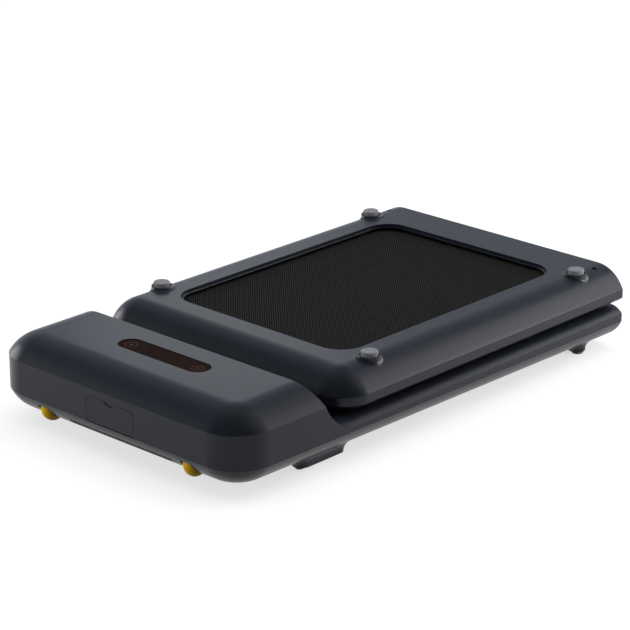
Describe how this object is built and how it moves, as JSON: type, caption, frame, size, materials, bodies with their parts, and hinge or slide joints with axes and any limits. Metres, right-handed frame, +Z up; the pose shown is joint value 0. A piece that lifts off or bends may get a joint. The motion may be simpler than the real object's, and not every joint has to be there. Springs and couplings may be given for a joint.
{
  "type": "folding walking pad",
  "caption": "Folding walking pad with a motor hood, walking belt, rubber feet and transport wheels; the rear half swings over to lie on the front half.",
  "frame": {"origin": "on the floor, under the middle of the folded pad", "axes": "+X from the hood's front wall to the fold, +Y across to the left wheel, +Z up"},
  "size_m": [0.8928, 0.518, 0.1426],
  "materials": {
    "shell": "satin, fine grain",
    "frame_steel": "powder coat",
    "deck": "laminated board",
    "belt": "matt, fine ribs",
    "steel": "turned",
    "motor": "satin",
    "board": "lacquered",
    "heat_sink": "extruded",
    "display": "gloss, dark tint",
    "black_plastic": "matt",
    "wheel": "satin",
    "foot_rubber": "matt"
  },
  "bodies": {
    "base": {"front_top_cover": "shell", "front_bottom_shell": "shell", "front_left_beam": "frame_steel", "front_right_beam": "frame_steel", "front_cross_members": "frame_steel", "front_hinge_brackets": "frame_steel", "motor_bracket": "frame_steel", "front_deck_board": "deck", "front_belt": "belt", "belt_fold_span": "belt", "drive_belt": "belt", "drive_roller_axle": "steel", "front_idler_axles": "steel", "door_hinge_pin": "steel", "wheel_axles": "steel", "front_shell_screws": "steel", "hinge_pins": "steel", "motor_body": "motor", "control_board": "board", "display_board": "board", "heat_sink": "heat_sink", "display_lens": "display", "power_inlet": "black_plastic", "rocker_frame": "black_plastic", "front_rubber_feet": "foot_rubber", "hood_foot_pads": "foot_rubber", "rail_bumpers": "foot_rubber"},
    "rear_half": {"rear_rail_cover": "shell", "rear_bottom_shell": "shell", "rear_left_beam": "frame_steel", "rear_right_beam": "frame_steel", "rear_cross_members": "frame_steel", "rear_deck_board": "deck", "rear_belt": "belt", "tail_roller_axle": "steel", "belt_tension_bolts": "steel", "tension_brackets": "frame_steel", "rear_idler_axles": "steel", "rear_rubber_feet": "foot_rubber", "rear_shell_screws": "steel", "rear_hinge_brackets": "frame_steel"},
    "drive_roller": {"drive_roller": "steel", "drive_roller_bearings": "steel"},
    "tail_roller": {"tail_roller": "steel", "tail_roller_bearings": "steel"},
    "left_wheel": {"left_wheel": "wheel"},
    "right_wheel": {"right_wheel": "wheel"},
    "front_lower_idler": {"front_lower_idler": "steel"},
    "front_upper_idler": {"front_upper_idler": "steel"},
    "rear_lower_idler": {"rear_lower_idler": "steel"},
    "rear_upper_idler": {"rear_upper_idler": "steel"},
    "motor_rotor": {"motor_rotor": "steel"},
    "inlet_door": {"inlet_door": "shell"},
    "power_rocker": {"power_rocker": "black_plastic"}
  },
  "joints": [
    {"name": "fold_hinge", "type": "hinge", "parent": "base", "child": "rear_half", "pos_m": [0.4341, 0, 0.0713], "axis": [0, 1, 0], "range_deg": [0, 180], "deforming": ["belt_fold_span"]},
    {"name": "drive_roller_turn", "type": "hinge", "parent": "base", "child": "drive_roller", "pos_m": [-0.2684, 0, 0.0433], "axis": [0, 1, 0], "continuous": true},
    {"name": "tail_roller_turn", "type": "hinge", "parent": "rear_half", "child": "tail_roller", "pos_m": [-0.1934, 0, 0.0993], "axis": [0, 1, 0], "continuous": true},
    {"name": "front_lower_idler_turn", "type": "hinge", "parent": "base", "child": "front_lower_idler", "pos_m": [0.37827, 0, 0.0319], "axis": [0, 1, 0], "continuous": true},
    {"name": "front_upper_idler_turn", "type": "hinge", "parent": "base", "child": "front_upper_idler", "pos_m": [0.4121, 0, 0.0497], "axis": [0, 1, 0], "continuous": true},
    {"name": "rear_lower_idler_turn", "type": "hinge", "parent": "rear_half", "child": "rear_lower_idler", "pos_m": [0.37827, 0, 0.1107], "axis": [0, 1, 0], "continuous": true},
    {"name": "rear_upper_idler_turn", "type": "hinge", "parent": "rear_half", "child": "rear_upper_idler", "pos_m": [0.4121, 0, 0.0929], "axis": [0, 1, 0], "continuous": true},
    {"name": "motor_turn", "type": "hinge", "parent": "base", "child": "motor_rotor", "pos_m": [-0.3484, 0, 0.068], "axis": [0, 1, 0], "continuous": true},
    {"name": "left_wheel_turn", "type": "hinge", "parent": "base", "child": "left_wheel", "pos_m": [-0.4199, 0.151, 0.0382], "axis": [0, 1, 0], "continuous": true},
    {"name": "right_wheel_turn", "type": "hinge", "parent": "base", "child": "right_wheel", "pos_m": [-0.4199, -0.151, 0.0382], "axis": [0, 1, 0], "continuous": true},
    {"name": "inlet_door_hinge", "type": "hinge", "parent": "base", "child": "inlet_door", "pos_m": [-0.443, 0, 0.057], "axis": [0, -1, 0], "range_deg": [0, 90]},
    {"name": "power_rocker_tilt", "type": "hinge", "parent": "base", "child": "power_rocker", "pos_m": [-0.4189, -0.022, 0.0775], "axis": [0, 1, 0], "range_deg": [0, 14]}
  ],
  "couplings": [
    {"joint": "tail_roller_turn", "follows": "drive_roller_turn", "ratio": 1},
    {"joint": "front_lower_idler_turn", "follows": "drive_roller_turn", "ratio": 2.2667},
    {"joint": "front_upper_idler_turn", "follows": "drive_roller_turn", "ratio": -2.2667},
    {"joint": "rear_lower_idler_turn", "follows": "drive_roller_turn", "ratio": 2.2667},
    {"joint": "rear_upper_idler_turn", "follows": "drive_roller_turn", "ratio": -2.2667},
    {"joint": "motor_turn", "follows": "drive_roller_turn", "ratio": 2}
  ]
}
